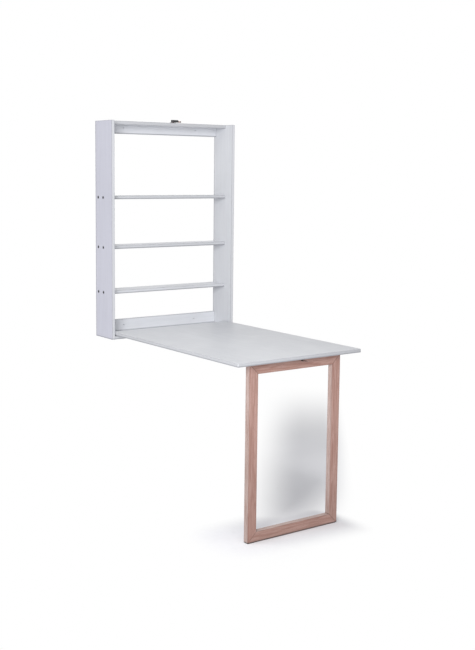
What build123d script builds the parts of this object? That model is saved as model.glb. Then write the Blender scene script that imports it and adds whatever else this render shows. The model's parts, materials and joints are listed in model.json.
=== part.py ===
"""Wall-hung fold-down secretary desk: shelf cabinet, drop-down top, folding frame leg.

Frame: millimetres, +X to the right seen from the room, +Y towards the wall, +Z up.
The origin is the centre of the four wall-screw holes, on the wall plane.
The desk is modelled open: top level, leg standing on the floor, catch turned aside.
"""
from build123d import *
import math
import os

# ---------------------------------------------------------------- cabinet
cabinet_width = 680.0
cabinet_height = 990.0
cabinet_depth = 150.0
panel_thickness = 15.0
end_board_thickness = 15.0
shelf_thickness = 15.0
rail_thickness = 15.0
back_rail_height = 55.0
lower_bay_height = 187.5
middle_bay_height = 191.5
upper_bay_height = 212.5
board_edge_radius = 0.8

# ---------------------------------------------------------------- desk top and leg
desk_height = 748.0
top_thickness = 15.0
top_side_clearance = 3.0
top_drop_when_closed = 0.5
top_corner_radius = 5.0
top_edge_radius = 1.2
closing_clearance = 8.0
front_recess = 1.0
leg_width_share = 0.7
leg_member_width = 44.0
leg_thickness = 25.0
leg_setback = 37.0
leg_seat_gap = 0.3
leg_foot_radius = 6.0
leg_edge_radius = 1.5

# ---------------------------------------------------------------- butt hinges
hinge_length = 60.0
hinge_leaf_width = 24.0
hinge_leaf_thickness = 1.2
knuckle_radius = 2.5
knuckle_count = 5
knuckle_side_gap = 0.2
knuckle_clearance = 0.3
hinge_pin_radius = 1.25
pin_running_clearance = 0.05
pin_head_radius = 1.9
pin_head_thickness = 0.8
top_rear_clearance = 0.5
desk_hinge_spacing = 220.0
leg_hinge_spacing = 300.0
hinge_screw_pitch = 20.0
hinge_screws_per_leaf = 3

# ---------------------------------------------------------------- fasteners
fit_clearance = 0.05
hinge_screw_length = 12.0
hinge_screw_radius = 1.5
hinge_screw_head_radius = 2.8
leg_screw_length = 16.0
shelf_screw_inset = 25.0
shelf_screw_length = 50.0
shelf_screw_body_radius = 3.4
shelf_screw_core_radius = 2.6
shelf_screw_head_radius = 5.2
shelf_screw_head_height = 2.6
shelf_screw_step_back = 1.0
hex_socket_across_flats = 4.0
hex_socket_depth = 2.2
dowel_radius = 4.0
dowel_length = 30.0
dowel_in_panel = 9.5
dowel_end_chamfer = 1.0
board_dowel_spacing = 52.0
rail_dowel_spacing = 32.0
mitre_dowel_radius = 3.0
mitre_dowel_length = 22.0
mitre_dowel_spacing = 26.0
cam_radius = 7.5
cam_depth = 11.0
cam_backset = 24.0
cam_slot_length = 9.0
cam_slot_width = 1.4
cam_slot_depth = 1.6
cam_bolt_radius = 2.6
cam_bolt_head_radius = 3.4
cam_bolt_head_length = 3.0
cam_bolt_in_panel = 9.5
cam_channel_clearance = 0.4
wall_hole_radius = 2.75
wall_hole_spacing = 400.0

# ---------------------------------------------------------------- catch on the top board
catch_offset = 24.0
catch_plate_length = 30.0
catch_plate_width = 12.6
catch_plate_thickness = 2.0
catch_plate_edge = 0.7
catch_plate_corner = 3.0
catch_screw_inset = 4.5
catch_screw_length = 12.0
catch_screw_radius = 1.5
catch_screw_head_radius = 3.0
catch_screw_head_height = 1.6
pivot_radius = 2.5
pivot_head_radius = 5.0
pivot_head_height = 2.6
pivot_end_play = 0.2
hub_radius = 6.0
hub_play = 0.3
lever_height = 7.4
lever_shank_width = 7.0
lever_lift = 1.0
hook_wall = 3.4
hook_slot_clearance = 0.6
hook_mouth_angle = 20.0
grip_collar_radius = 8.5
grip_reach = 28.0
grip_width = 10.0
grip_height = 11.8
grip_edge_radius = 1.6
tang_width = 4.0
tang_height = 4.0
keeper_plate_length = 26.0
keeper_plate_width = 12.0
keeper_plate_thickness = 1.6
keeper_setback = 20.0
keeper_boss_radius = 4.5
keeper_drop = 8.5
keeper_pin_radius = 2.5
keeper_pin_reach = 10.0
keeper_pin_end_radius = 1.5

# ---------------------------------------------------------------- derived places
half_width = cabinet_width / 2
inner_half = half_width - panel_thickness
bottom_z = -(cabinet_height + end_board_thickness) / 2
top_z = bottom_z + cabinet_height
bottom_board_top_z = bottom_z + end_board_thickness
upper_hole_z = top_z - back_rail_height / 2
lower_hole_z = bottom_board_top_z + back_rail_height / 2

knuckle_offset = knuckle_radius + knuckle_clearance
leg_fold_gap = 2 * knuckle_offset
desk_axis_y = -cabinet_depth + front_recess + leg_thickness + leg_fold_gap
desk_axis_z = bottom_board_top_z + knuckle_offset
shelf_front_y = desk_axis_y + top_thickness + closing_clearance

top_underside_z = desk_axis_z
desk_surface_z = top_underside_z + top_thickness
floor_z = desk_surface_z - desk_height
top_reach = top_z - top_drop_when_closed - desk_axis_z
top_front_y = desk_axis_y - top_reach
top_rear_y = desk_axis_y - knuckle_radius - top_rear_clearance
top_half_width = inner_half - top_side_clearance

leg_half_width = leg_width_share * cabinet_width / 2
leg_front_y = top_front_y + leg_setback
leg_rear_y = leg_front_y + leg_thickness
leg_top_z = top_underside_z - leg_seat_gap
leg_axis_y = leg_rear_y + knuckle_offset
leg_axis_z = top_underside_z - knuckle_offset

lower_shelf_z = bottom_board_top_z + lower_bay_height
middle_shelf_z = lower_shelf_z + shelf_thickness + middle_bay_height
upper_shelf_z = middle_shelf_z + shelf_thickness + upper_bay_height

top_board_front_y = shelf_front_y
catch_axis_y = top_board_front_y + catch_plate_edge + catch_plate_width / 2
catch_plate_top_z = top_z + catch_plate_thickness
hub_low_z = catch_plate_top_z + hub_play
hub_high_z = hub_low_z + lever_height
tang_mid_z = (lever_lift + lever_height) / 2
hook_reach = catch_axis_y - (desk_axis_y - keeper_drop)
hook_slot_half = keeper_pin_radius + hook_slot_clearance

os.makedirs("parts", exist_ok=True)


# ---------------------------------------------------------------- small builders
def block(low, high):
    """A box between two corners."""
    size = [high[i] - low[i] for i in range(3)]
    centre = [(high[i] + low[i]) / 2 for i in range(3)]
    return Pos(*centre) * Box(*size)


def board(low, high):
    """A panel with every arris just broken."""
    return fillet(block(low, high).edges(), board_edge_radius)


def cross_board(low, high):
    """A board along X between the side panels: long arrises broken, butting ends left square."""
    body = block(low, high)
    return fillet(body.edges().filter_by(Axis.X), board_edge_radius)


def turned(profile):
    """A solid of revolution about Z from (radius, height) points that start and end on the axis."""
    return revolve(Plane.XZ * make_face(Polyline(*profile, close=True)), Axis.Z)


def facing(place, direction):
    """The location at place whose own +Z points along direction."""
    return Plane(origin=place, z_dir=direction).location


def wood_screw(length, radius, head_radius, head_height, grow=0.0):
    """Countersunk screw, head face at the origin, running down -Z."""
    point = 1.5 * radius
    return turned([
        (0, 0),
        (head_radius + grow, 0),
        (radius + grow, -head_height),
        (radius + grow, point - length),
        (0, -length - grow),
    ])


def hinge_screw(length, grow=0.0):
    return wood_screw(length, hinge_screw_radius, hinge_screw_head_radius, hinge_leaf_thickness, grow)


def confirmat_screw(grow=0.0):
    """Furniture screw: flat head, plain body through the panel, thinner core in the shelf end."""
    body_end = shelf_screw_step_back - panel_thickness
    return turned([
        (0, 0),
        (shelf_screw_head_radius + grow, 0),
        (shelf_screw_body_radius + grow, -shelf_screw_head_height),
        (shelf_screw_body_radius + grow, body_end),
        (shelf_screw_core_radius + grow, body_end),
        (shelf_screw_core_radius + grow, shelf_screw_core_radius - shelf_screw_length),
        (0, -shelf_screw_length - grow),
    ])


def hex_socket():
    radius = hex_socket_across_flats / math.sqrt(3)
    return extrude(RegularPolygon(radius, 6), -hex_socket_depth)


def dowel(radius, length, grow=0.0):
    """Wooden dowel centred on the origin, along Z, with chamfered ends."""
    half = length / 2 + grow
    outer = radius + grow
    return turned([
        (0, -half),
        (outer - dowel_end_chamfer, -half),
        (outer, dowel_end_chamfer - half),
        (outer, half - dowel_end_chamfer),
        (outer - dowel_end_chamfer, half),
        (0, half),
    ])


def cam_disc(board_thickness):
    """Cam lock body below the board face at the origin, bolt entering along +X."""
    disc = Pos(0, 0, -cam_depth / 2) * Cylinder(cam_radius, cam_depth)
    for angle in (0, 90):
        disc -= Rot(0, 0, angle) * Box(cam_slot_length, cam_slot_width, 2 * cam_slot_depth)
    channel_radius = cam_bolt_head_radius + cam_channel_clearance
    channel_length = cam_radius + cam_bolt_head_length
    channel = Rot(0, 90, 0) * Cylinder(channel_radius, channel_length)
    middle = (cam_radius - cam_bolt_head_length) / 2
    return disc - Pos(middle, 0, -board_thickness / 2) * channel


def cam_bolt():
    """Cam bolt along Z: threaded into the panel below the origin, its head up in the cam."""
    reach = cam_backset + cam_bolt_head_length / 2
    return turned([
        (0, -cam_bolt_in_panel),
        (cam_bolt_radius, -cam_bolt_in_panel),
        (cam_bolt_radius, reach - cam_bolt_head_length),
        (cam_bolt_head_radius, reach - cam_bolt_head_length),
        (cam_bolt_head_radius, reach),
        (0, reach),
    ])


def each(items):
    """One compound of separate solids."""
    return Compound(children=list(items))


def save(name, shape):
    shape.label = name
    export_step(shape, "parts/" + name + ".step")


# ---------------------------------------------------------------- where the carcass joints are
SIDES = (-1, 1)
top_board_rear_y = -rail_thickness
top_board_mid_y = (top_board_front_y + top_board_rear_y) / 2
bottom_board_mid_y = -cabinet_depth / 2
top_board_mid_z = top_z - end_board_thickness / 2
bottom_board_mid_z = bottom_z + end_board_thickness / 2
rail_mid_y = -rail_thickness / 2

# each joint row: name of the board, its dowel places and its cam place in the end face,
# and the direction that the cam's face looks
JOINTS = {
    "top_board": (
        [(top_board_mid_y + s * board_dowel_spacing / 2, top_board_mid_z) for s in SIDES],
        (top_board_mid_y, top_board_mid_z), (0, 0, 1), end_board_thickness),
    "bottom_board": (
        [(bottom_board_mid_y + s * board_dowel_spacing, bottom_board_mid_z) for s in SIDES],
        (bottom_board_mid_y, bottom_board_mid_z), (0, 0, -1), end_board_thickness),
    "top_back_rail": (
        [(rail_mid_y, upper_hole_z + s * rail_dowel_spacing / 2) for s in SIDES],
        (rail_mid_y, upper_hole_z), (0, 1, 0), rail_thickness),
    "bottom_back_rail": (
        [(rail_mid_y, lower_hole_z + s * rail_dowel_spacing / 2) for s in SIDES],
        (rail_mid_y, lower_hole_z), (0, 1, 0), rail_thickness),
}

dowel_mid_offset = dowel_length / 2 - dowel_in_panel


def dowel_places(side, name):
    x = side * (inner_half - dowel_mid_offset)
    return [facing((x, y, z), (1, 0, 0)) for y, z in JOINTS[name][0]]


def cam_bolt_place(side, name):
    y, z = JOINTS[name][1]
    return facing((side * inner_half, y, z), (-side, 0, 0))


def cam_place(side, name):
    (y, z), face, thickness = JOINTS[name][1], JOINTS[name][2], JOINTS[name][3]
    x = side * (inner_half - cam_backset)
    origin = (x, y + face[1] * thickness / 2, z + face[2] * thickness / 2)
    return Plane(origin=origin, x_dir=(side, 0, 0), z_dir=face).location


def dowel_holes(side, name):
    return [place * dowel(dowel_radius, dowel_length, fit_clearance) for place in dowel_places(side, name)]


def panel_cutters(side, name):
    """What a joint bores into the side panel: dowel holes and the cam bolt's pilot."""
    pilot = Cylinder(cam_bolt_radius + fit_clearance, cam_bolt_in_panel)
    return dowel_holes(side, name) + [cam_bolt_place(side, name) * Pos(0, 0, -cam_bolt_in_panel / 2) * pilot]


def board_cutters(name):
    """What the joints bore into a board's two ends: dowel holes, bolt channels and cam pockets."""
    channel = Cylinder(cam_bolt_head_radius + cam_channel_clearance, cam_backset)
    pocket_depth = cam_depth + fit_clearance
    pocket = Cylinder(cam_radius + fit_clearance, pocket_depth)
    cutters = []
    for side in SIDES:
        cutters += dowel_holes(side, name)
        cutters.append(cam_bolt_place(side, name) * Pos(0, 0, cam_backset / 2) * channel)
        cutters.append(cam_place(side, name) * Pos(0, 0, -pocket_depth / 2) * pocket)
    return cutters


def cut_all(body, cutters):
    for cutter in cutters:
        body = body - cutter
    return body


# ---------------------------------------------------------------- shelf screws
SHELVES = {"lower_shelf": lower_shelf_z, "middle_shelf": middle_shelf_z, "upper_shelf": upper_shelf_z}


def shelf_screw_places(side, shelf_z):
    mid_z = shelf_z + shelf_thickness / 2
    return [facing((side * half_width, y, mid_z), (side, 0, 0))
            for y in (-shelf_screw_inset, shelf_front_y + shelf_screw_inset)]


def all_screw_places(side):
    return [place for shelf_z in SHELVES.values() for place in shelf_screw_places(side, shelf_z)]


# ---------------------------------------------------------------- hinges
def hinge_leaf(own_knuckles, plate_low, plate_high, heads_up):
    """Leaf with its pin along X through the origin and its plate running to -Y.

    own_knuckles are the knuckle numbers that belong to this leaf, plate_low and plate_high the
    plate's faces above the pin axis, heads_up whether the screw heads sit in the upper face.
    """
    pitch = hinge_length / knuckle_count
    plate = block((-hinge_length / 2, -hinge_leaf_width, plate_low), (hinge_length / 2, 0, plate_high))
    corners = plate.edges().filter_by(Axis.Z).group_by(Axis.Y)[0]
    leaf = fillet(corners, 2 * hinge_leaf_thickness)
    for number in range(knuckle_count):
        low_x = -hinge_length / 2 + number * pitch
        if number in own_knuckles:
            width = pitch - knuckle_side_gap
            barrel = Rot(0, 90, 0) * Cylinder(knuckle_radius, width)
            leaf += Pos(low_x + pitch / 2, 0, 0) * barrel
        else:
            relief = knuckle_side_gap / 2
            leaf -= block((low_x - relief, -knuckle_offset, -knuckle_offset * 2),
                          (low_x + pitch + relief, knuckle_offset, knuckle_offset * 2))
    bore_radius = hinge_pin_radius + pin_running_clearance
    leaf -= Rot(0, 90, 0) * Cylinder(bore_radius, 2 * hinge_length)
    for place in leaf_screw_places(plate_low, plate_high, heads_up):
        leaf -= place * hinge_screw(hinge_screw_length, fit_clearance)
    return leaf


def leaf_screw_places(plate_low, plate_high, heads_up):
    middle = (hinge_screws_per_leaf - 1) / 2
    y = -(hinge_leaf_width + knuckle_offset) / 2
    z = plate_high if heads_up else plate_low
    return [facing(((number - middle) * hinge_screw_pitch, y, z), (0, 0, 1 if heads_up else -1))
            for number in range(hinge_screws_per_leaf)]


def hinge_pin():
    """Pin along X, with a small head at each end."""
    half = hinge_length / 2
    head_end = half + pin_head_thickness
    profile = [
        (0, -head_end),
        (pin_head_radius, -head_end),
        (pin_head_radius, -half),
        (hinge_pin_radius, -half),
        (hinge_pin_radius, half),
        (pin_head_radius, half),
        (pin_head_radius, head_end),
        (0, head_end),
    ]
    return Rot(0, 90, 0) * turned(profile)


FIXED_KNUCKLES = tuple(range(0, knuckle_count, 2))
MOVING_KNUCKLES = tuple(range(1, knuckle_count, 2))
OUTER_PLATE = (knuckle_offset - hinge_leaf_thickness, knuckle_offset)

desk_hinge_places = [Pos(n * desk_hinge_spacing, desk_axis_y, desk_axis_z) for n in (-1, 0, 1)]
leg_hinge_places = [Pos(s * leg_hinge_spacing / 2, leg_axis_y, leg_axis_z) for s in SIDES]

# plate faces above the pin axis: the desk's lower leaf lies on the bottom board, its cranked
# upper leaf under the top; both leg leaves stand off the pin by the full knuckle
LOWER_LEAF = (-OUTER_PLATE[1], -OUTER_PLATE[0], True)
UPPER_LEAF = (-hinge_leaf_thickness, 0.0, False)
LEG_LEAF = (OUTER_PLATE[0], OUTER_PLATE[1], False)
TURN_TO_WALL = Rot(0, 0, 180)
TURN_DOWN = Rot(90, 0, 0)


def leaf_set(places, turn, knuckles, leaf):
    return [place * turn * hinge_leaf(knuckles, *leaf) for place in places]


def screw_set(places, turn, leaf, length, grow=0.0):
    return [place * turn * spot * hinge_screw(length, grow)
            for place in places for spot in leaf_screw_places(*leaf)]


NO_TURN = Rot(0, 0, 0)

# ---------------------------------------------------------------- catch and keeper places
catch_screw_shift = catch_plate_length / 2 - catch_screw_inset
catch_screw_places = [Pos(catch_offset + s * catch_screw_shift, catch_axis_y, catch_plate_top_z)
                      for s in SIDES]
keeper_front_y = top_front_y + keeper_setback
keeper_rear_y = keeper_front_y + keeper_plate_width
keeper_low_z = top_underside_z - keeper_plate_thickness
keeper_screw_shift = keeper_plate_length / 2 - catch_screw_inset
keeper_screw_places = [
    facing((catch_offset + s * keeper_screw_shift, (keeper_front_y + keeper_rear_y) / 2, keeper_low_z),
           (0, 0, -1)) for s in SIDES]


def catch_screw(grow=0.0):
    return wood_screw(catch_screw_length, catch_screw_radius, catch_screw_head_radius,
                      catch_screw_head_height, grow)


# ---------------------------------------------------------------- carcass
def side_panel(side):
    low_x, high_x = sorted((side * inner_half, side * half_width))
    panel = board((low_x, -cabinet_depth, bottom_z), (high_x, 0, top_z))
    for name in JOINTS:
        panel = cut_all(panel, panel_cutters(side, name))
    return cut_all(panel, [place * confirmat_screw(fit_clearance) for place in all_screw_places(side)])


def wall_hole(x, z):
    return facing((x, -rail_thickness / 2, z), (0, 1, 0)) * Cylinder(wall_hole_radius, 2 * rail_thickness)


def top_board():
    body = cross_board((-inner_half, top_board_front_y, top_z - end_board_thickness),
                       (inner_half, top_board_rear_y, top_z))
    body = cut_all(body, board_cutters("top_board"))
    return cut_all(body, [place * catch_screw(fit_clearance) for place in catch_screw_places])


def bottom_board():
    body = cross_board((-inner_half, -cabinet_depth, bottom_z), (inner_half, 0, bottom_board_top_z))
    body = cut_all(body, board_cutters("bottom_board"))
    return cut_all(body, screw_set(desk_hinge_places, NO_TURN, LOWER_LEAF, hinge_screw_length, fit_clearance))


def back_rail(name, low_z, hole_z):
    body = cross_board((-inner_half, -rail_thickness, low_z), (inner_half, 0, low_z + back_rail_height))
    body = cut_all(body, board_cutters(name))
    return cut_all(body, [wall_hole(s * wall_hole_spacing / 2, hole_z) for s in SIDES])


def shelf(shelf_z):
    body = cross_board((-inner_half, shelf_front_y, shelf_z), (inner_half, 0, shelf_z + shelf_thickness))
    return cut_all(body, [place * confirmat_screw(fit_clearance)
                          for side in SIDES for place in shelf_screw_places(side, shelf_z)])


# ---------------------------------------------------------------- desk top
def desk_top():
    slab = block((-top_half_width, top_front_y, top_underside_z),
                 (top_half_width, top_rear_y, desk_surface_z))
    front_corners = slab.edges().filter_by(Axis.Z).group_by(Axis.Y)[0]
    slab = fillet(front_corners, top_corner_radius)
    rims = slab.faces().sort_by(Axis.Z)
    slab = fillet(rims[-1].edges() + rims[0].edges(), top_edge_radius)
    slab = cut_all(slab, screw_set(desk_hinge_places, NO_TURN, UPPER_LEAF, hinge_screw_length, fit_clearance))
    slab = cut_all(slab, screw_set(leg_hinge_places, TURN_TO_WALL, LEG_LEAF, hinge_screw_length, fit_clearance))
    return cut_all(slab, [place * catch_screw(fit_clearance) for place in keeper_screw_places])


# ---------------------------------------------------------------- leg frame
def leg_frame():
    """The whole mitred frame before it is parted at the mitres."""
    outer = Polyline((-leg_half_width, floor_z), (leg_half_width, floor_z),
                     (leg_half_width, leg_top_z), (-leg_half_width, leg_top_z), close=True)
    outline = make_face(outer)
    outline = fillet(outline.vertices().group_by(Axis.Y)[0], leg_foot_radius)
    inner_half_leg = leg_half_width - leg_member_width
    inner = make_face(Polyline((-inner_half_leg, floor_z + leg_member_width),
                               (inner_half_leg, floor_z + leg_member_width),
                               (inner_half_leg, leg_top_z - leg_member_width),
                               (-inner_half_leg, leg_top_z - leg_member_width), close=True))
    face = Plane(origin=(0, leg_rear_y, 0), x_dir=(1, 0, 0), z_dir=(0, -1, 0)) * (outline - inner)
    frame = extrude(face, leg_thickness, dir=(0, -1, 0))
    rims = frame.faces().filter_by(Axis.Y)
    return fillet(rims[0].edges() + rims[-1].edges(), leg_edge_radius)


def mitre_wedge(points):
    """A prism in front view whose slanted ends are the mitres."""
    face = Plane(origin=(0, leg_rear_y, 0), x_dir=(1, 0, 0), z_dir=(0, -1, 0)) * make_face(
        Polyline(*points, close=True))
    return extrude(face, leg_thickness, dir=(0, -1, 0))


def mitre_dowel_places():
    """Two dowels square across each mitre, at half thickness."""
    places = []
    half_member = leg_member_width / 2
    for side in SIDES:
        for z, up in ((floor_z + half_member, -1), (leg_top_z - half_member, 1)):
            corner_x = side * (leg_half_width - half_member)
            for step in SIDES:
                shift = step * mitre_dowel_spacing / 2 / math.sqrt(2)
                spot = (corner_x + side * shift, (leg_front_y + leg_rear_y) / 2, z + up * shift)
                places.append(facing(spot, (side, 0, -up)))
    return places


def leg_members():
    frame = leg_frame()
    frame = cut_all(frame, screw_set(leg_hinge_places, TURN_DOWN, LEG_LEAF, leg_screw_length, fit_clearance))
    frame = cut_all(frame, [place * dowel(mitre_dowel_radius, mitre_dowel_length, fit_clearance)
                            for place in mitre_dowel_places()])
    a, b = leg_half_width, leg_half_width - leg_member_width
    foot, head = floor_z, leg_top_z
    low, high = floor_z + leg_member_width, leg_top_z - leg_member_width
    return {
        "leg_left_stile": frame & mitre_wedge([(-a, foot), (-b, low), (-b, high), (-a, head)]),
        "leg_right_stile": frame & mitre_wedge([(a, foot), (a, head), (b, high), (b, low)]),
        "leg_head_rail": frame & mitre_wedge([(-a, head), (-b, high), (b, high), (a, head)]),
        "leg_foot_rail": frame & mitre_wedge([(-a, foot), (a, foot), (b, low), (-b, low)]),
    }


# ---------------------------------------------------------------- catch
def catch_plate():
    """Base plate screwed to the top board, with the hole its pivot is riveted through."""
    low_x = catch_offset - catch_plate_length / 2
    plate = block((low_x, catch_axis_y - catch_plate_width / 2, top_z),
                  (low_x + catch_plate_length, catch_axis_y + catch_plate_width / 2, catch_plate_top_z))
    plate = fillet(plate.edges().filter_by(Axis.Z), catch_plate_corner)
    plate -= Pos(catch_offset, catch_axis_y, catch_plate_top_z) * Cylinder(
        pivot_radius + fit_clearance, 4 * catch_plate_thickness)
    return cut_all(plate, [place * catch_screw(fit_clearance) for place in catch_screw_places])


def catch_pivot():
    """Pivot standing in the plate, its domed head holding the lever down."""
    head_low = hub_high_z + pivot_end_play - top_z
    profile = [
        (0, 0),
        (pivot_radius, 0),
        (pivot_radius, head_low),
        (pivot_head_radius, head_low),
        (pivot_head_radius, head_low + pivot_head_height * 0.35),
        (pivot_head_radius * 0.84, head_low + pivot_head_height * 0.75),
        (pivot_head_radius * 0.5, head_low + pivot_head_height),
        (0, head_low + pivot_head_height),
    ]
    return Pos(catch_offset, catch_axis_y, top_z) * turned(profile)


def catch_lever():
    """Swing hook: hub on the pivot, square tang for the grip, then a C that opens to -Y."""
    end_radius = hook_slot_half + hook_wall
    half_shank = lever_shank_width / 2
    shank = make_face(Polyline((grip_reach, -half_shank), (hook_reach, -half_shank), (hook_reach, half_shank),
                               (grip_reach, half_shank), close=True))
    outline = shank + Pos(hook_reach, 0) * Circle(end_radius)
    entry = math.radians(hook_mouth_angle)
    path = CenterArc((0, 0), hook_reach, -hook_mouth_angle, hook_mouth_angle)
    outline -= SlotArc(path, 2 * hook_slot_half)
    beyond = Pos(hook_reach * math.cos(entry), -hook_reach * math.sin(entry)) * Circle(hook_slot_half)
    outline -= beyond
    hook = extrude(Pos(0, 0, lever_lift) * outline, lever_height - lever_lift)
    hub = Pos(0, 0, lever_height / 2) * Cylinder(hub_radius, lever_height)
    tang = Pos(grip_reach / 2, 0, tang_mid_z) * Box(grip_reach, tang_width, tang_height)
    bore = Cylinder(pivot_radius + pin_running_clearance, 4 * lever_height)
    return Pos(catch_offset, catch_axis_y, hub_low_z) * (hub + tang + hook - bore)


def catch_grip():
    """Moulded thumb grip: a collar round the lever's hub and a bar round its tang."""
    height = grip_height - lever_lift
    collar = Pos(0, 0, lever_lift + height / 2) * Cylinder(grip_collar_radius, height)
    bar = Pos(grip_reach / 2, 0, lever_lift + height / 2) * Box(grip_reach, grip_width, height)
    grip = collar + bar
    grip = fillet(grip.faces().sort_by(Axis.Z)[-1].edges(), grip_edge_radius)
    well = Pos(0, 0, lever_lift + height / 2) * Cylinder(hub_radius + fit_clearance, 2 * height)
    socket = Pos(grip_reach / 2, 0, tang_mid_z) * Box(
        2 * grip_reach, tang_width + 2 * fit_clearance, tang_height + 2 * fit_clearance)
    half_socket = socket & block((0, -grip_width, 0), (2 * grip_reach, grip_width, 2 * grip_height))
    return Pos(catch_offset, catch_axis_y, hub_low_z) * (grip - well - half_socket)


def catch_keeper():
    """Keeper under the top near its front edge; its pin reaches past the edge for the hook to take."""
    pin_z = top_underside_z - keeper_drop
    plate = block((catch_offset - keeper_plate_length / 2, keeper_front_y, keeper_low_z),
                  (catch_offset + keeper_plate_length / 2, keeper_rear_y, top_underside_z))
    plate = fillet(plate.edges().filter_by(Axis.Z), catch_plate_corner)
    middle_y = (keeper_front_y + keeper_rear_y) / 2
    along_y = Rot(90, 0, 0)
    boss = Pos(catch_offset, middle_y, pin_z) * along_y * Cylinder(keeper_boss_radius, keeper_plate_width)
    web = block((catch_offset - keeper_boss_radius, keeper_front_y, pin_z),
                (catch_offset + keeper_boss_radius, keeper_rear_y, top_underside_z))
    pin_length = keeper_setback + keeper_pin_reach + keeper_pin_radius
    pin = Cylinder(keeper_pin_radius, pin_length)
    pin = fillet(pin.edges().sort_by(Axis.Z)[-1], keeper_pin_end_radius)
    pin_mid_y = top_front_y - keeper_pin_reach + pin_length / 2
    body = plate + boss + web + Pos(catch_offset, pin_mid_y, pin_z) * along_y * pin
    return cut_all(body, [place * catch_screw(fit_clearance) for place in keeper_screw_places])


# ---------------------------------------------------------------- write every sub-part
save("left_side_panel", side_panel(-1))
save("right_side_panel", side_panel(1))
save("top_board", top_board())
save("bottom_board", bottom_board())
save("top_back_rail", back_rail("top_back_rail", top_z - back_rail_height, upper_hole_z))
save("bottom_back_rail", back_rail("bottom_back_rail", bottom_board_top_z, lower_hole_z))
for shelf_name, shelf_height in SHELVES.items():
    save(shelf_name, shelf(shelf_height))

for side, side_name in zip(SIDES, ("left", "right")):
    socketed = confirmat_screw() - hex_socket()
    save(side_name + "_shelf_screws", each(place * socketed for place in all_screw_places(side)))
    save(side_name + "_carcass_dowels", each(place * dowel(dowel_radius, dowel_length)
                                             for name in JOINTS for place in dowel_places(side, name)))
save("cam_locks", each(cam_place(side, name) * cam_disc(JOINTS[name][3])
                       for name in JOINTS for side in SIDES))
save("cam_bolts", each(cam_bolt_place(side, name) * cam_bolt() for name in JOINTS for side in SIDES))

save("desk_top", desk_top())
save("desk_hinge_lower_leaves", each(leaf_set(desk_hinge_places, NO_TURN, FIXED_KNUCKLES, LOWER_LEAF)))
save("desk_hinge_upper_leaves", each(leaf_set(desk_hinge_places, NO_TURN, MOVING_KNUCKLES, UPPER_LEAF)))
save("desk_hinge_pins", each(place * hinge_pin() for place in desk_hinge_places))
save("desk_hinge_lower_screws", each(screw_set(desk_hinge_places, NO_TURN, LOWER_LEAF, hinge_screw_length)))
save("desk_hinge_upper_screws", each(screw_set(desk_hinge_places, NO_TURN, UPPER_LEAF, hinge_screw_length)))

save("leg_hinge_top_leaves", each(leaf_set(leg_hinge_places, TURN_TO_WALL, FIXED_KNUCKLES, LEG_LEAF)))
save("leg_hinge_leg_leaves", each(leaf_set(leg_hinge_places, TURN_DOWN, MOVING_KNUCKLES, LEG_LEAF)))
save("leg_hinge_pins", each(place * hinge_pin() for place in leg_hinge_places))
save("leg_hinge_top_screws", each(screw_set(leg_hinge_places, TURN_TO_WALL, LEG_LEAF, hinge_screw_length)))
save("leg_hinge_leg_screws", each(screw_set(leg_hinge_places, TURN_DOWN, LEG_LEAF, leg_screw_length)))

for member_name, member in leg_members().items():
    save(member_name, member)
save("leg_mitre_dowels", each(place * dowel(mitre_dowel_radius, mitre_dowel_length)
                              for place in mitre_dowel_places()))

save("catch_plate", catch_plate())
save("catch_plate_screws", each(place * catch_screw() for place in catch_screw_places))
save("catch_pivot", catch_pivot())
save("catch_lever", catch_lever())
save("catch_grip", catch_grip())
save("catch_keeper", catch_keeper())
save("catch_keeper_screws", each(place * catch_screw() for place in keeper_screw_places))
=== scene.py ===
"""Looks of the wall-hung fold-down desk: finishes, floor, light and camera around the fixed CAD frame.

Lengths are in metres and colours are linear. A fade is a pair of places on a scale: what fades is at its full
strength at the first and gone at the second.
"""
import json
import math
from typing import NamedTuple

import bpy
from mathutils import Matrix, Vector

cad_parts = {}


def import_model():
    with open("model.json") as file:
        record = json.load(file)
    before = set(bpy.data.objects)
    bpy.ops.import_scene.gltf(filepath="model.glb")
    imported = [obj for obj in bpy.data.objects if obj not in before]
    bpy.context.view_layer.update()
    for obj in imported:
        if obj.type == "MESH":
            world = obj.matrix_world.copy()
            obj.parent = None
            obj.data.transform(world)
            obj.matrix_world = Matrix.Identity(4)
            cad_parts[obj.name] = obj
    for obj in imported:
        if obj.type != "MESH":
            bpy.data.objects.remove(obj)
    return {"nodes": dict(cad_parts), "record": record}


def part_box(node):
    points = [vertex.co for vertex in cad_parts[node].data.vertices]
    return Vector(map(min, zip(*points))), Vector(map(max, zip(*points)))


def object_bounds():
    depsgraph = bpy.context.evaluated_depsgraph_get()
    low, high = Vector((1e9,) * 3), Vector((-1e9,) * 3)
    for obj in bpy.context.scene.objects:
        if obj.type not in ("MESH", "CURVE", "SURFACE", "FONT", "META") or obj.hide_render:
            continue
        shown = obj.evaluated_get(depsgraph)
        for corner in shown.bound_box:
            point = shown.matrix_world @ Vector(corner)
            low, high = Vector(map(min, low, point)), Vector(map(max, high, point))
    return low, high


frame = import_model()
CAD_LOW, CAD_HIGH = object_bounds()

X, Y, Z = range(3)

# ---------------------------------------------------------------- the leg's members, by their grain's axis
LEG_GRAIN = {"leg_left_stile": Z, "leg_right_stile": Z, "leg_head_rail": X, "leg_foot_rail": X}
LEG_CORNERS = [corner for node in LEG_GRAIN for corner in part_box(node)]
LEG_LOW = Vector([min(corner[axis] for corner in LEG_CORNERS) for axis in (X, Y, Z)])
LEG_HIGH = Vector([max(corner[axis] for corner in LEG_CORNERS) for axis in (X, Y, Z)])

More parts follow.
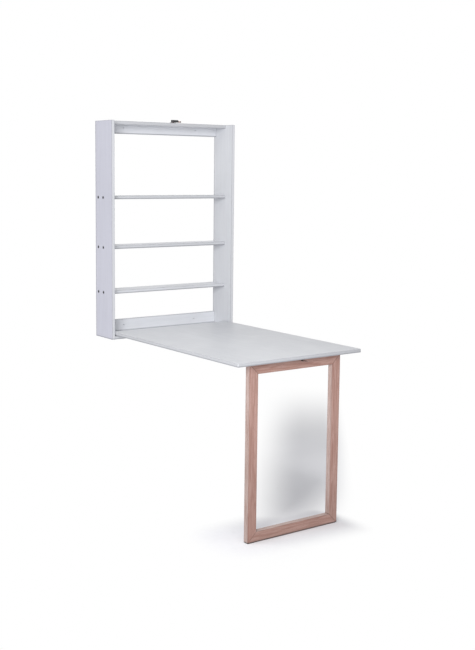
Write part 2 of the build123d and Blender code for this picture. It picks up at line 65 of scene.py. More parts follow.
# ---------------------------------------------------------------- camera, in metres, degrees and millimetres
CAMERA_PLACE = (-2.6816, -4.2687, 0.2633)
CAMERA_YAW = 35.97
CAMERA_PITCH = -7.00
CAMERA_ROLL = 0.58
CAMERA_LENS = 57.90
CAMERA_SENSOR = 36.0
CAMERA_SHIFT = (0.0152, -0.0383)
CAMERA_CLIP = (0.05, 200.0)

# ---------------------------------------------------------------- colours, and tints that multiply them
WHITE = (1.0, 1.0, 1.0)
WHITE_LACQUER = (0.735, 0.746, 0.774)
WHITE_LACQUER_DEEP = (0.708, 0.719, 0.748)
LACQUER_GRAIN_TINT = (0.955, 0.955, 0.955)
# Painted shade for the lines along the boards' arrises, bases and rear arrises.
LACQUER_EDGE_SHADE = (0.330, 0.338, 0.362)
# Painted cool light from the left, tinting the cabinet's outer faces bluish.
OUTER_FACE_COOL_LIGHT = (0.850, 0.840, 0.910)
# Painted shade in the countersink round each shelf screw's head.
SCREW_RING_SHADE = (0.090, 0.092, 0.100)
BEECH_LIGHT = (0.520, 0.336, 0.292)
BEECH_DARK = (0.400, 0.227, 0.188)
BEECH_FLECK = (0.225, 0.112, 0.090)
# Painted sheen: the leg's narrow faces are paler and greyer.
BEECH_SIDE_SHEEN = (1.150, 1.420, 1.520)
MITRE_LINE = (0.170, 0.088, 0.068)
# Painted contact shade where the leg meets the floor.
FOOT_CONTACT_SHADE = (0.060, 0.042, 0.038)
DOWEL_LIGHT = (0.640, 0.500, 0.350)
DOWEL_DARK = (0.520, 0.380, 0.250)
ZINC = (0.600, 0.600, 0.620)
ZINC_DARK = (0.420, 0.420, 0.440)
SCREW_LIGHT = (0.020, 0.020, 0.024)
SCREW_DARK = (0.006, 0.006, 0.007)
BLACK_LACQUER = (0.012, 0.012, 0.013)
BLACK_WORN = (0.080, 0.078, 0.075)
BRONZE_LIGHT = (0.420, 0.300, 0.270)
BRONZE_DARK = (0.120, 0.075, 0.062)
WORN_STEEL = (0.380, 0.370, 0.360)
GRIP_BLACK = (0.010, 0.010, 0.011)
GRIP_GREY = (0.030, 0.030, 0.032)
FLOOR_WHITE = (0.765, 0.765, 0.785)
KEY_LIGHT = (0.985, 0.990, 1.0)
AMBIENT = (0.98, 0.985, 1.0)

# ---------------------------------------------------------------- ramps, as (position, colour or tint) stops
LACQUER_STREAK_RAMP = [(0.0, LACQUER_GRAIN_TINT), (1.0, WHITE)]
LACQUER_PORE_RAMP = [(0.30, LACQUER_GRAIN_TINT), (0.52, WHITE)]
# Painted falloff of the light: the desk top darkens towards its right end.
DESK_TOP_RIGHT_SHADE_RAMP = [(0.35, WHITE), (1.0, (0.86, 0.86, 0.865))]
BEECH_BAND_RAMP = [(0.30, BEECH_DARK), (0.47, BEECH_LIGHT), (0.56, BEECH_DARK), (0.72, BEECH_LIGHT)]
BEECH_STREAK_RAMP = [(0.30, (0.80, 0.76, 0.74)), (0.66, (1.04, 1.03, 1.02))]
BEECH_DRIFT_RAMP = [(0.30, (0.90, 0.88, 0.86)), (0.70, (1.06, 1.06, 1.06))]
# Painted shading up the leg: darker towards the foot, lighter near the top.
BEECH_HEIGHT_SHADE_RAMP = [(0.0, (0.88, 0.88, 0.88)), (0.80, (1.04, 1.04, 1.04))]
DOWEL_RAMP = [(0.30, DOWEL_DARK), (0.70, DOWEL_LIGHT)]
BARE_BRONZE_RAMP = [(0.30, BRONZE_DARK), (0.52, BRONZE_LIGHT)]
LACQUER_POSITIONS = (0.32, 0.68)
MOTTLE_POSITIONS = (0.36, 0.62)

# ---------------------------------------------------------------- sheen
# Roughness follows a noise from its lows to its highs, and the keeper's metallic how far it is rubbed bare.
LACQUER_ROUGHNESS = (0.34, 0.47)
LACQUER_SPECULAR = 0.42
BEECH_ROUGHNESS = (0.56, 0.40)
BEECH_SPECULAR = 0.40
DOWEL_ROUGHNESS = (0.75, 0.60)
KEEPER_ROUGHNESS = (0.34, 0.50)
KEEPER_METALLIC = (0.2, 0.8)
FLOOR_ROUGHNESS = 0.85
FLOOR_SPECULAR = 0.10

# ---------------------------------------------------------------- relief, as (height, strength)
PORE_RELIEF = (0.00012, 0.35)
PEEL_RELIEF = (0.00006, 0.30)
BEECH_STREAK_RELIEF = (0.00025, 0.45)
BEECH_FLECK_RELIEF = (0.00015, 0.30)
DOWEL_RELIEF = (0.0002, 0.5)
SCRATCH_RELIEF = (0.00004, 0.45)
MOTTLE_RELIEF = (0.0001, 0.25)

# ---------------------------------------------------------------- lines, rims and narrow faces, much of it painted shade
# Each fade is a distance from what it belongs to: an arris, a face, a screw's centre, a mitre, the floor or
# the root of the keeper's pin. The outer faces' fade is measured from the cabinet's middle plane.
OFF_FACE_FADE = (0.0010, 0.0002)
BOARD_SIDE_FADE = (0.0006, 0.0012)
ARRIS_SHADE_FADE = (0.0004, 0.0024)
ARRIS_SHADE_WANDER = 0.0004
BASE_SHADE_FADE = (0.0030, 0.0058)
REAR_SHADE_STRENGTH = 0.80
OUTER_LIGHT_FADE = (CAD_HIGH.x - 0.0004, CAD_HIGH.x - 0.0012)
SCREW_HEAD_RADIUS = 0.0052
SCREW_SHADE_FADE = (SCREW_HEAD_RADIUS + 0.0008, SCREW_HEAD_RADIUS + 0.0028)
SCREW_SHADE_STRENGTH = 0.85
BEECH_SHEEN_FADE = (0.0006, 0.0014)
BEECH_RIM_SHADE_FADE = (0.0006, 0.0038)
BEECH_RIM_SHADE_STRENGTH = 0.42
MITRE_FADE = (0.0006, 0.0024)
MITRE_STRENGTH = 0.85
FOOT_SHADE_FADE = (0.0030, 0.0080)
FOOT_SHADE_STRENGTH = 0.95
KEEPER_PIN_SHARE = 0.70
KEEPER_RUB_FADE = (-0.001, 0.002)


# ---------------------------------------------------------------- noise patterns
class Pattern(NamedTuple):
    """A noise. Squeezing its coordinates along the grain draws it out that way."""
    scale: float              # cells per metre
    squeeze: float = 1.0
    detail: float = 4.0
    roughness: float = 0.55
    distortion: float = 0.0


LACQUER_DRIFT = Pattern(3.2, detail=3.0)
LACQUER_STREAKS = Pattern(62.0, 0.06, roughness=0.6, distortion=0.4)
LACQUER_PORES = Pattern(420.0, 0.035, detail=5.0, roughness=0.62)
LACQUER_CHATTER = Pattern(130.0)
LACQUER_PEEL = Pattern(700.0, detail=2.0)
LACQUER_SMUDGE = Pattern(9.0, detail=5.0)
BEECH_BANDS = Pattern(62.0, 0.055, detail=3.0, roughness=0.5, distortion=1.1)
BEECH_STREAKS = Pattern(620.0, 0.022, detail=5.0, roughness=0.65)
BEECH_FLECKS = Pattern(900.0, 0.11, detail=2.0, roughness=0.45)
BEECH_DRIFT = Pattern(9.0, 0.25, detail=2.0)
DOWEL_GRAIN = Pattern(700.0, 0.08)
MOTTLE = Pattern(60.0, detail=6.0, roughness=0.6, distortion=0.3)
BLACK_MOTTLE_SCALE = 500.0
SCRATCHES = Pattern(1500.0, 0.12, roughness=0.7)
# Most of a noise's values lie between these two.
NOISE_LOW, NOISE_HIGH = 0.3, 0.7
# Flecks show where their noise is highest.
BEECH_FLECK_FADE = (0.72, 0.62)
BEECH_FLECK_STRENGTH = 0.75
# Each board and leg member has its patterns moved by a seed of its own.
BOARD_SEED_STEP = 1.7
LEG_SEED_START, LEG_SEED_STEP = 0.4, 2.3


# ---------------------------------------------------------------- node helpers
class Nodes:
    """A material's node tree with short calls for the nodes that this scene uses."""

    def __init__(self, name):
        self.material = bpy.data.materials.new(name)
        self.material.use_nodes = True
        self.tree = self.material.node_tree
        self.tree.nodes.clear()
        self.output = self.tree.nodes.new("ShaderNodeOutputMaterial")
        self.shader = self.tree.nodes.new("ShaderNodeBsdfPrincipled")
        self.link(self.shader.outputs["BSDF"], self.output.inputs["Surface"])
        self.place = self.tree.nodes.new("ShaderNodeTexCoord").outputs["Object"]

    def link(self, source, target):
        self.tree.links.new(source, target)

    def feed(self, value, target):
        """Gives a node's input a number, a linear colour or another node's output."""
        if isinstance(value, (int, float)):
            target.default_value = value
        elif isinstance(value, tuple):
            target.default_value = (*value, 1.0)
        else:
            self.link(value, target)

    def complete(self, colour, roughness, *relief):
        """Feeds the shader's colour, roughness and relief, and hands back the material."""
        self.link(colour, self.shader.inputs["Base Color"])
        self.link(roughness, self.shader.inputs["Roughness"])
        self.bump(relief)
        return self.material

    def noise(self, pattern, axis=X, offset=(0.0, 0.0, 0.0)):
        """A noise in object coordinates, drawn out along one axis and then moved."""
        mapping = self.tree.nodes.new("ShaderNodeMapping")
        stretch = [pattern.squeeze if side == axis else 1.0 for side in (X, Y, Z)]
        mapping.inputs["Scale"].default_value = stretch
        mapping.inputs["Location"].default_value = offset
        self.link(self.place, mapping.inputs["Vector"])
        node = self.tree.nodes.new("ShaderNodeTexNoise")
        node.inputs["Scale"].default_value = pattern.scale
        node.inputs["Detail"].default_value = pattern.detail
        node.inputs["Roughness"].default_value = pattern.roughness
        node.inputs["Distortion"].default_value = pattern.distortion
        self.link(mapping.outputs["Vector"], node.inputs["Vector"])
        return node.outputs["Fac"]

    def ramp(self, value, stops):
        """A colour ramp from (position, colour) stops."""
        node = self.tree.nodes.new("ShaderNodeValToRGB")
        ramp = node.color_ramp
        while len(ramp.elements) < len(stops):
            ramp.elements.new(1.0)
        for element, (position, colour) in zip(ramp.elements, stops):
            element.position = position
            element.color = (*colour, 1.0)
        self.link(value, node.inputs["Fac"])
        return node.outputs["Color"]

    def math(self, operation, first, second=0.0):
        node = self.tree.nodes.new("ShaderNodeMath")
        node.operation = operation
        self.feed(first, node.inputs[0])
        self.feed(second, node.inputs[1])
        return node.outputs["Value"]

    def hypotenuse(self, first, second):
        squares = [self.math("MULTIPLY", value, value) for value in (first, second)]
        return self.math("SQRT", self.math("ADD", *squares))

    def remap(self, value, from_low, from_high, to_low, to_high):
        node = self.tree.nodes.new("ShaderNodeMapRange")
        node.inputs["From Min"].default_value = from_low
        node.inputs["From Max"].default_value = from_high
        node.inputs["To Min"].default_value = to_low
        node.inputs["To Max"].default_value = to_high
        self.link(value, node.inputs["Value"])
        return node.outputs["Result"]

    def spread(self, noise, at_low, at_high):
        """Turns a noise into a value that varies from at_low to at_high."""
        return self.remap(noise, NOISE_LOW, NOISE_HIGH, at_low, at_high)

    def fade(self, value, fade, strength=1.0):
        """Strength where value is at the fade's first place, falling evenly to 0 at its second."""
        return self.remap(value, *fade, strength, 0.0)

    def smooth_fade(self, value, fade):
        """1 where value is at the fade's first place, easing to 0 at its second."""
        node = self.tree.nodes.new("ShaderNodeMapRange")
        node.interpolation_type = "SMOOTHSTEP"
        node.inputs["From Max"].default_value, node.inputs["From Min"].default_value = fade
        self.link(value, node.inputs["Value"])
        return node.outputs["Result"]

    def blend(self, factor, first, second, mode="MIX"):
        """Mixes two colours, from the first at factor 0 to the second at factor 1."""
        node = self.tree.nodes.new("ShaderNodeMix")
        node.data_type = "RGBA"
        node.blend_type = mode
        self.feed(factor, node.inputs["Factor"])
        inputs = [socket for socket in node.inputs if socket.type == "RGBA"]
        for value, socket in zip((first, second), inputs):
            self.feed(value, socket)
        return [socket for socket in node.outputs if socket.type == "RGBA"][0]

    def tinted(self, colour, tint):
        """A colour multiplied by a tint."""
        return self.blend(1.0, colour, tint, "MULTIPLY")

    def bump(self, layers):
        """Stacks layers of relief, each (noise, (height, strength)), into the shader's normal."""
        normal = None
        for noise, (height, strength) in layers:
            node = self.tree.nodes.new("ShaderNodeBump")
            node.inputs["Distance"].default_value = height
            node.inputs["Strength"].default_value = strength
            self.link(noise, node.inputs["Height"])
            if normal is not None:
                self.link(normal, node.inputs["Normal"])
            normal = node.outputs["Normal"]
        self.link(normal, self.shader.inputs["Normal"])

    def coordinate(self, axis):
        """One object coordinate in metres."""
        split = self.tree.nodes.new("ShaderNodeSeparateXYZ")
        self.link(self.place, split.inputs["Vector"])
        return split.outputs[axis]

    def depth_inside(self, low, high, axis):
        """Distance from a point to the nearer end of a box along one axis, negative outside it."""
        middle = (low[axis] + high[axis]) / 2
        half = (high[axis] - low[axis]) / 2
        from_middle = self.math("ABSOLUTE", self.math("SUBTRACT", self.coordinate(axis), middle))
        return self.math("SUBTRACT", half, from_middle)

    def edge_distance(self, low, high):
        """Distance from a point on a board's surface to the board's nearest arris."""
        first, second, third = (self.depth_inside(low, high, axis) for axis in (X, Y, Z))
        lower = self.math("MINIMUM", first, second)
        upper = self.math("MAXIMUM", first, second)
        return self.math("MAXIMUM", lower, self.math("MINIMUM", upper, third))

    def line_beside(self, distance, fade, strength):
        """Strength of a line beside a flat face: none on the face itself, full just past its arris."""
        off_face = self.fade(distance, OFF_FACE_FADE)
        return self.math("MULTIPLY", off_face, self.fade(distance, fade, strength))


# ---------------------------------------------------------------- white lacquer
class Board(NamedTuple):
    """How one lacquered board is shaded."""
    grain: int                   # axis along which its grain runs
    tone: float = 1.0            # of the whole board; above 1, painted light that lifts a board out of its shade
    side_tone: float = 1.0       # of its narrow faces, on top of that
    arris_shade: float = 0.75     # strength of the painted shade line along each arris
    base_shade: float = 0.80      # strength of the painted shade line along its base
    rear_shade: float = 0.002     # width of the painted shadow line along its rear arris, at the wall
    shaded_right: bool = False    # whether its right end is darker, a painted falloff of the light


def screw_shade_rings(nodes):
    """Strength of the painted shade ring round each shelf screw's head, the same on both side panels."""
    screws_low, screws_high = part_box("left_shelf_screws")
    nearest = None
    for shelf in ("lower_shelf", "middle_shelf", "upper_shelf"):
        shelf_low, shelf_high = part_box(shelf)
        height = nodes.math("SUBTRACT", nodes.coordinate(Z), (shelf_low.z + shelf_high.z) / 2)
        for place in (screws_low.y + SCREW_HEAD_RADIUS, screws_high.y - SCREW_HEAD_RADIUS):
            aside = nodes.math("SUBTRACT", nodes.coordinate(Y), place)
            away = nodes.hypotenuse(height, aside)
            nearest = away if nearest is None else nodes.math("MINIMUM", nearest, away)
    return nodes.fade(nearest, SCREW_SHADE_FADE, SCREW_SHADE_STRENGTH)


def lacquer_film(nodes, board, low, high, pores, seed):
    """Colour of a board's lacquer: slow drift, then streaks and pores along the grain."""
    tones = [[part * board.tone for part in colour] for colour in (WHITE_LACQUER_DEEP, WHITE_LACQUER)]
    drift = nodes.noise(LACQUER_DRIFT, offset=(seed, 0.0, 0.0))
    colour = nodes.ramp(drift, list(zip(LACQUER_POSITIONS, tones)))
    streaks = nodes.noise(LACQUER_STREAKS, board.grain, (0.0, 0.0, seed))
    colour = nodes.tinted(colour, nodes.ramp(nodes.spread(streaks, 0.0, 1.0), LACQUER_STREAK_RAMP))
    # Painted falloff of the light: the desk top darkens towards its right end.
    if board.shaded_right:
        across = nodes.remap(nodes.coordinate(X), low.x, high.x, 0.0, 1.0)
        colour = nodes.tinted(colour, nodes.ramp(across, DESK_TOP_RIGHT_SHADE_RAMP))
    return nodes.tinted(colour, nodes.ramp(pores, LACQUER_PORE_RAMP))


def lacquer_edges(nodes, colour, board, low, high, seed):
    """Adds greyer narrow faces, then painted shade lines and screw rings, and painted cool light outside."""
    extents = [high[axis] - low[axis] for axis in (X, Y, Z)]
    thin_axis = extents.index(min(extents))
    broad_axes = [axis for axis in (X, Y, Z) if axis != thin_axis]
    inside = nodes.math("MINIMUM", *(nodes.depth_inside(low, high, axis) for axis in broad_axes))
    side = nodes.tinted(colour, (board.side_tone,) * 3)
    colour = nodes.blend(nodes.fade(inside, BOARD_SIDE_FADE), colour, side)
    chatter = nodes.noise(LACQUER_CHATTER, offset=(0.0, seed, seed))
    wander = nodes.remap(chatter, 0.0, 1.0, -ARRIS_SHADE_WANDER, ARRIS_SHADE_WANDER)
    from_arris = nodes.math("ADD", nodes.edge_distance(low, high), wander)
    above_base = nodes.math("SUBTRACT", nodes.coordinate(Z), low.z)
    from_rear = nodes.math("SUBTRACT", high.y, nodes.coordinate(Y))
    # Painted shade: grey lines along each arris, along the base and against the wall.
    lines = (nodes.fade(from_arris, ARRIS_SHADE_FADE, board.arris_shade),
             nodes.line_beside(above_base, BASE_SHADE_FADE, board.base_shade),
             nodes.line_beside(from_rear, (0.0, board.rear_shade), REAR_SHADE_STRENGTH))
    for line in lines:
        colour = nodes.blend(line, colour, LACQUER_EDGE_SHADE)
    # Painted cool light: the cabinet's outer faces are tinted bluish.
    cool_light_share = nodes.fade(nodes.math("ABSOLUTE", nodes.coordinate(X)), OUTER_LIGHT_FADE)
    colour = nodes.blend(cool_light_share, colour, nodes.tinted(colour, OUTER_FACE_COOL_LIGHT))
    # Painted shade rings round the shelf screws' heads on the side panels.
    if thin_axis == X:
        colour = nodes.blend(screw_shade_rings(nodes), colour, SCREW_RING_SHADE)
    return colour


def lacquered_board(name, board, low, high, seed):
    """White lacquer on a board: pores that the film doesn't quite fill, orange peel and a smudged sheen."""
    nodes = Nodes(name)
    pores = nodes.noise(LACQUER_PORES, board.grain, (0.0, seed, 0.0))
    peel = nodes.noise(LACQUER_PEEL, offset=(seed, seed, 0.0))
    smudge = nodes.noise(LACQUER_SMUDGE, offset=(seed, 0.0, seed))
    colour = lacquer_film(nodes, board, low, high, pores, seed)
    colour = lacquer_edges(nodes, colour, board, low, high, seed)
    nodes.shader.inputs["Specular IOR Level"].default_value = LACQUER_SPECULAR
    return nodes.complete(colour, nodes.spread(smudge, *LACQUER_ROUGHNESS),
                          (pores, PORE_RELIEF), (peel, PEEL_RELIEF))


# ---------------------------------------------------------------- wood
def beech_grain(nodes, axis, streaks, flecks, seed):
    """Colour of planed beech: cathedral bands, fine streaks, slow drift and short dark flecks."""
    bands = nodes.noise(BEECH_BANDS, axis, (seed, 0.7 * seed, 0.3 * seed))
    drift = nodes.noise(BEECH_DRIFT, axis, (seed, seed, 0.0))
    colour = nodes.ramp(bands, BEECH_BAND_RAMP)
    colour = nodes.tinted(colour, nodes.ramp(streaks, BEECH_STREAK_RAMP))
    colour = nodes.tinted(colour, nodes.ramp(drift, BEECH_DRIFT_RAMP))
    return nodes.blend(nodes.fade(flecks, BEECH_FLECK_FADE, BEECH_FLECK_STRENGTH), colour, BEECH_FLECK)


def beech_edges(nodes, colour, axis, low, high):
    """Adds mitre lines, painted shade on the rim, the foot and at the floor, and painted sheen on narrow
    faces.
    """
    # Painted shade on the rounded arrises, in the flecks' colour.
    rim = nodes.fade(nodes.edge_distance(low, high), BEECH_RIM_SHADE_FADE, BEECH_RIM_SHADE_STRENGTH)
    colour = nodes.blend(rim, colour, BEECH_FLECK)
    across, upward = (nodes.depth_inside(LEG_LOW, LEG_HIGH, side) for side in (X, Z))
    from_mitre = nodes.math("ABSOLUTE", nodes.math("SUBTRACT", across, upward))
    colour = nodes.blend(nodes.fade(from_mitre, MITRE_FADE, MITRE_STRENGTH), colour, MITRE_LINE)
    # Painted shading: darker towards the foot, lighter near the top.
    height = nodes.remap(nodes.coordinate(Z), LEG_LOW.z, LEG_HIGH.z, 0.0, 1.0)
    colour = nodes.tinted(colour, nodes.ramp(height, BEECH_HEIGHT_SHADE_RAMP))
    # Painted sheen: the narrow faces are paler and greyer.
    inside = nodes.depth_inside(low, high, Z if axis == X else X)
    side = nodes.tinted(colour, BEECH_SIDE_SHEEN)
    colour = nodes.blend(nodes.fade(inside, BEECH_SHEEN_FADE), colour, side)
    # Painted contact shade just above the floor.
    above_floor = nodes.math("SUBTRACT", nodes.coordinate(Z), LEG_LOW.z)
    line = nodes.line_beside(above_floor, FOOT_SHADE_FADE, FOOT_SHADE_STRENGTH)
    return nodes.blend(line, colour, FOOT_CONTACT_SHADE)


def beech(name, axis, low, high, seed):
    """Varnished beech with its grain along one axis."""
    nodes = Nodes(name)
    streaks = nodes.noise(BEECH_STREAKS, axis, (0.0, seed, 0.0))
    flecks = nodes.noise(BEECH_FLECKS, axis, (0.0, 0.0, seed))
    colour = beech_grain(nodes, axis, streaks, flecks, seed)
    colour = beech_edges(nodes, colour, axis, low, high)
    nodes.shader.inputs["Specular IOR Level"].default_value = BEECH_SPECULAR
    return nodes.complete(colour, nodes.spread(streaks, *BEECH_ROUGHNESS),
                          (streaks, BEECH_STREAK_RELIEF), (flecks, BEECH_FLECK_RELIEF))


def plain_wood(name):
    """Unfinished dowel wood with a fine grain."""
    nodes = Nodes(name)
    grain = nodes.noise(DOWEL_GRAIN, X)
    return nodes.complete(nodes.ramp(grain, DOWEL_RAMP), nodes.spread(grain, *DOWEL_ROUGHNESS),
                          (grain, DOWEL_RELIEF))


# ---------------------------------------------------------------- metal and plastic
def mottled(nodes, tone, dark, light):
    """Colour that varies with a mottled tone."""
    return nodes.ramp(tone, list(zip(MOTTLE_POSITIONS, (dark, light))))


def metal(name, light, dark, roughness, metallic=1.0, mottle_scale=MOTTLE.scale):
    """Metal, or paint or plastic finished like it: mottled tone, uneven sheen and fine scratches."""
    nodes = Nodes(name)
    tone = nodes.noise(MOTTLE._replace(scale=mottle_scale))
    scratches = nodes.noise(SCRATCHES, Y)
    nodes.shader.inputs["Metallic"].default_value = metallic
    return nodes.complete(mottled(nodes, tone, dark, light), nodes.spread(scratches, *roughness),
                          (scratches, SCRATCH_RELIEF), (tone, MOTTLE_RELIEF))


def rubbed_black(name, low, high):
    """Black lacquered keeper whose front part, its pin, is rubbed through to bronze."""
    nodes = Nodes(name)
    tone = nodes.noise(MOTTLE._replace(scale=BLACK_MOTTLE_SCALE))
    black = mottled(nodes, tone, BLACK_LACQUER, BLACK_WORN)
    bare = nodes.ramp(tone, BARE_BRONZE_RAMP)
    pin_root = low.y + (high.y - low.y) * KEEPER_PIN_SHARE
    rubbed = nodes.fade(nodes.coordinate(Y), [pin_root + step for step in KEEPER_RUB_FADE])
    nodes.link(nodes.remap(rubbed, 0.0, 1.0, *KEEPER_METALLIC), nodes.shader.inputs["Metallic"])
    return nodes.complete(nodes.blend(rubbed, black, bare), nodes.spread(tone, *KEEPER_ROUGHNESS),
                          (tone, MOTTLE_RELIEF))


# ---------------------------------------------------------------- what each piece wears
BOARDS = {
    "left_side_panel": Board(grain=Z, side_tone=0.86, rear_shade=0.009),
    "right_side_panel": Board(grain=Z, tone=0.97, side_tone=0.95, rear_shade=0.009),
    "top_board": Board(grain=X, side_tone=0.74, base_shade=0.0),
    "bottom_board": Board(grain=X, side_tone=0.84),
    # The back rails' tones above 1 are painted light, lifting them out of the cabinet's shade.
    "top_back_rail": Board(grain=X, tone=1.08, base_shade=0.9),
    "bottom_back_rail": Board(grain=X, tone=1.12, base_shade=0.5),
    "lower_shelf": Board(grain=X, side_tone=0.94, base_shade=0.9),
    "middle_shelf": Board(grain=X, side_tone=0.84, arris_shade=0.85, base_shade=1.0),
    "upper_shelf": Board(grain=X, side_tone=0.80, arris_shade=0.85, base_shade=1.0),
    "desk_top": Board(grain=Y, side_tone=0.80, arris_shade=0.25, base_shade=0.85, rear_shade=0.001,
                      shaded_right=True),
}
SLOT_FINISHES = {
    "hinge_steel": metal("zinc_plate", ZINC, ZINC_DARK, roughness=(0.28, 0.42)),
    "zinc_alloy": metal("cast_zinc", ZINC, ZINC_DARK, roughness=(0.45, 0.60), mottle_scale=220.0),
    "dark_screw": metal("dark_screw", SCREW_LIGHT, SCREW_DARK, roughness=(0.60, 0.75), metallic=0.0,
                        mottle_scale=300.0),
    "black_metal": metal("black_lacquered_metal", BLACK_WORN, BLACK_LACQUER, roughness=(0.30, 0.45),
                         metallic=0.2, mottle_scale=BLACK_MOTTLE_SCALE),
    "bronze": metal("antique_bronze", BRONZE_LIGHT, BRONZE_DARK, roughness=(0.30, 0.50), metallic=0.9,
                    mottle_scale=260.0),
    "worn_steel": metal("worn_steel", WORN_STEEL, SCREW_DARK, roughness=(0.22, 0.38), mottle_scale=320.0),
    "black_plastic": metal("moulded_grip", GRIP_GREY, GRIP_BLACK, roughness=(0.42, 0.56), metallic=0.0,
                           mottle_scale=420.0),
    "dowel_wood": plain_wood("dowel_wood"),
}


def dress(node, material):
    """Gives every material slot of a CAD node one finish."""
    mesh = frame["nodes"][node].data
    mesh.materials.clear()
    mesh.materials.append(material)


for order, (node, board) in enumerate(BOARDS.items()):
    dress(node, lacquered_board("lacquer_" + node, board, *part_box(node), seed=BOARD_SEED_STEP * order))
for order, (node, axis) in enumerate(LEG_GRAIN.items()):
    dress(node, beech("beech_" + node, axis, *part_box(node), seed=LEG_SEED_STEP * order + LEG_SEED_START))
for entry in frame["record"]["subparts"]:
    if entry["material_slot"] in SLOT_FINISHES:
        dress(entry["node"], SLOT_FINISHES[entry["material_slot"]])
dress("catch_keeper", rubbed_black("rubbed_keeper", *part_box("catch_keeper")))


# ---------------------------------------------------------------- floor
FLOOR_HALF_SIDE = 14.0
# The floor shows the desk's shadow in a pool behind and right of the leg. The pool's fades are distances from
# its middle: along SHADOW_BACK to the back right, square to it, and along SHADOW_CORNER to the front right.
SHADOW_MIDDLE = (0.56, -0.53)
SHADOW_BACK = (0.65, 0.76)
SHADOW_CORNER = (0.565, -0.878)
BACK_FADE = (0.60, 2.30)
FRONT_FADE = (-0.65, -1.25)
CORNER_FADE = (0.0, 0.33)
RIGHT_FADE = (0.05, 0.20)
LEFT_FADE = (-0.06, -0.34)
# It also shows the shadow at the leg's foot. These fades are distances from the foot and the strip behind it,
# and from the foot's right side.
FOOT_SHADOW_BACK = 0.09
FOOT_FADE = (0.02, 0.20)
FOOT_RIGHT_FADE = (0.0, 0.11)


def seen_directly(tree):
    """1 for camera, glossy and transmission rays and 0 for the rest."""
    rays = tree.nodes.new("ShaderNodeLightPath")
    seen = rays.outputs["Is Camera Ray"]
    for kind in ("Is Glossy Ray", "Is Transmission Ray"):
        either = tree.nodes.new("ShaderNodeMath")
        either.operation = "MAXIMUM"
        tree.links.new(seen, either.inputs[0])
        tree.links.new(rays.outputs[kind], either.inputs[1])
        seen = either.outputs["Value"]
    return seen


def floor_coordinate(nodes, direction):
    """Distance along a level direction from the middle of the pool of shadow."""
    from_middle = nodes.tree.nodes.new("ShaderNodeVectorMath")
    from_middle.operation = "SUBTRACT"
    nodes.link(nodes.place, from_middle.inputs[0])
    from_middle.inputs[1].default_value = (*SHADOW_MIDDLE, 0.0)
    share = nodes.tree.nodes.new("ShaderNodeVectorMath")
    share.operation = "DOT_PRODUCT"
    nodes.link(from_middle.outputs["Vector"], share.inputs[0])
    share.inputs[1].default_value = (*direction, 0.0)
    return share.outputs["Value"]


def pool_share(nodes):
    """1 in the pool of shadow, easing to 0 around it."""
    back = floor_coordinate(nodes, SHADOW_BACK)
    side = floor_coordinate(nodes, (SHADOW_BACK[Y], -SHADOW_BACK[X]))
    ahead = floor_coordinate(nodes, SHADOW_CORNER)
    pool = nodes.smooth_fade(back, BACK_FADE)
    for value, fade in ((back, FRONT_FADE), (side, RIGHT_FADE), (side, LEFT_FADE), (ahead, CORNER_FADE)):
        pool = nodes.math("MULTIPLY", pool, nodes.smooth_fade(value, fade))
    return pool


def foot_share(nodes):
    """1 at the leg's foot and just behind it, easing to 0 around it."""
    shadow_high = LEG_HIGH + Vector((0.0, FOOT_SHADOW_BACK, 0.0))
    outside = []
    for axis in (X, Y):
        inside = nodes.depth_inside(LEG_LOW, shadow_high, axis)
        outside.append(nodes.math("MAXIMUM", nodes.math("MULTIPLY", inside, -1.0), 0.0))
    right_of_foot = nodes.math("SUBTRACT", nodes.coordinate(X), LEG_HIGH.x)
    return nodes.math("MULTIPLY", nodes.smooth_fade(nodes.hypotenuse(*outside), FOOT_FADE),
                      nodes.smooth_fade(right_of_foot, FOOT_RIGHT_FADE))


def pale_floor():
    """Matt pale floor that keeps the desk's shadow and shows as plain white away from it."""
    nodes = Nodes("pale_floor")
    nodes.shader.inputs["Base Color"].default_value = (*FLOOR_WHITE, 1.0)
    nodes.shader.inputs["Roughness"].default_value = FLOOR_ROUGHNESS
    nodes.shader.inputs["Specular IOR Level"].default_value = FLOOR_SPECULAR
    plain = nodes.tree.nodes.new("ShaderNodeEmission")
    plain.inputs["Color"].default_value = (*WHITE, 1.0)
    shadow = nodes.math("MAXIMUM", pool_share(nodes), foot_share(nodes))
    hidden = nodes.math("SUBTRACT", 1.0, shadow)
    total = nodes.tree.nodes.new("ShaderNodeMixShader")
    nodes.link(nodes.math("MULTIPLY", hidden, seen_directly(nodes.tree)), total.inputs["Fac"])
    nodes.link(nodes.shader.outputs["BSDF"], total.inputs[1])
    nodes.link(plain.outputs["Emission"], total.inputs[2])
    nodes.link(total.outputs["Shader"], nodes.output.inputs["Surface"])
    return nodes.material


def floor():
    """One large square under the leg's foot."""
    half = FLOOR_HALF_SIDE
    mesh = bpy.data.meshes.new("floor")
    corners = [(x, y, CAD_LOW.z) for x, y in ((-half, -half), (half, -half), (half, half), (-half, half))]
    mesh.from_pydata(corners, [], [(0, 1, 2, 3)])
    mesh.materials.append(pale_floor())
    plane = bpy.data.objects.new("floor", mesh)
    bpy.context.scene.collection.objects.link(plane)
    return plane


# ---------------------------------------------------------------- light
AMBIENT_STRENGTH = 0.461
DESK_MIDDLE = (0.0, -0.4, -0.2)
SWEEP_TARGET = (0.0, -0.6, CAD_LOW.z)


def world():
    """Even cool ambient light that shows as plain white."""
    made = bpy.data.worlds.new("studio")
    made.use_nodes = True
    tree = made.node_tree
    tree.nodes.clear()
    output = tree.nodes.new("ShaderNodeOutputWorld")
    mix = tree.nodes.new("ShaderNodeMixShader")
    tree.links.new(seen_directly(tree), mix.inputs["Fac"])
    for socket, colour, strength in ((1, AMBIENT, AMBIENT_STRENGTH), (2, WHITE, 1.0)):
        background = tree.nodes.new("ShaderNodeBackground")
        background.inputs["Color"].default_value = (*colour, 1.0)
        background.inputs["Strength"].default_value = strength
        tree.links.new(background.outputs["Background"], mix.inputs[socket])
    tree.links.new(mix.outputs["Shader"], output.inputs["Surface"])
    bpy.context.scene.world = made


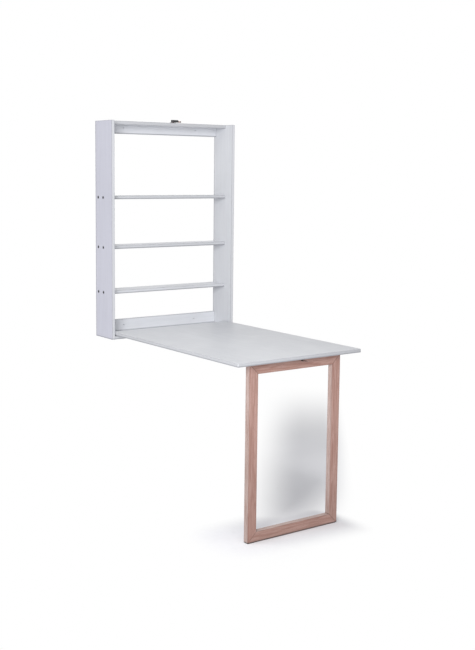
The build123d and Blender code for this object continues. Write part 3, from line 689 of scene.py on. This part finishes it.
def softbox(name, target, toward, distance, size, level, colour=WHITE):
    """A square area light aimed at a point; level is the brightness of white card that faces it there."""
    data = bpy.data.lights.new(name, "AREA")
    data.shape = "SQUARE"
    data.size = size
    data.energy = level * math.pi ** 2 * distance ** 2
    data.color = colour
    lamp = bpy.data.objects.new(name, data)
    bpy.context.scene.collection.objects.link(lamp)
    aim = -Vector(toward).normalized()
    lamp.location = Vector(target) - distance * aim
    lamp.rotation_mode = "QUATERNION"
    lamp.rotation_quaternion = aim.to_track_quat("-Z", "Y")
    return lamp


def light_only(lamp, objects):
    """Keeps a lamp's light to some objects."""
    receivers = bpy.data.collections.new("lit_by_" + lamp.name)
    for lit in objects:
        receivers.objects.link(lit)
    lamp.light_linking.receiver_collection = receivers


# ---------------------------------------------------------------- camera
def camera():
    """Camera at the front left, from its yaw, pitch and roll."""
    yaw, pitch, roll = (math.radians(angle) for angle in (CAMERA_YAW, CAMERA_PITCH, CAMERA_ROLL))
    ahead = Vector((math.sin(yaw) * math.cos(pitch), math.cos(yaw) * math.cos(pitch), math.sin(pitch)))
    level = Vector((math.cos(yaw), -math.sin(yaw), 0.0))
    upright = level.cross(ahead)
    right = math.cos(roll) * level + math.sin(roll) * upright
    up = math.cos(roll) * upright - math.sin(roll) * level
    data = bpy.data.cameras.new("camera")
    data.lens = CAMERA_LENS
    data.sensor_width = CAMERA_SENSOR
    data.shift_x, data.shift_y = CAMERA_SHIFT
    data.clip_start, data.clip_end = CAMERA_CLIP
    seen_from = bpy.data.objects.new("camera", data)
    bpy.context.scene.collection.objects.link(seen_from)
    turn = Matrix((right, up, -ahead)).transposed().to_4x4()
    seen_from.matrix_world = Matrix.Translation(CAMERA_PLACE) @ turn
    bpy.context.scene.camera = seen_from


FLOOR = floor()
world()
softbox("key", DESK_MIDDLE, toward=(-0.68, -0.70, 0.27), distance=4.6, size=1.5, level=0.600,
        colour=KEY_LIGHT)
softbox("overhead", DESK_MIDDLE, toward=(-0.25, -0.42, 1.0), distance=4.2, size=1.8, level=0.239)
# The sweep lights only the floor, where it casts the desk's soft shadow, and the leg's foot rail.
SWEEP = softbox("sweep", SWEEP_TARGET, toward=(-0.40, 0.02, 1.0), distance=4.4, size=1.8, level=0.333)
light_only(SWEEP, [FLOOR, frame["nodes"]["leg_foot_rail"]])
camera()
bpy.context.scene.view_settings.view_transform = "Standard"
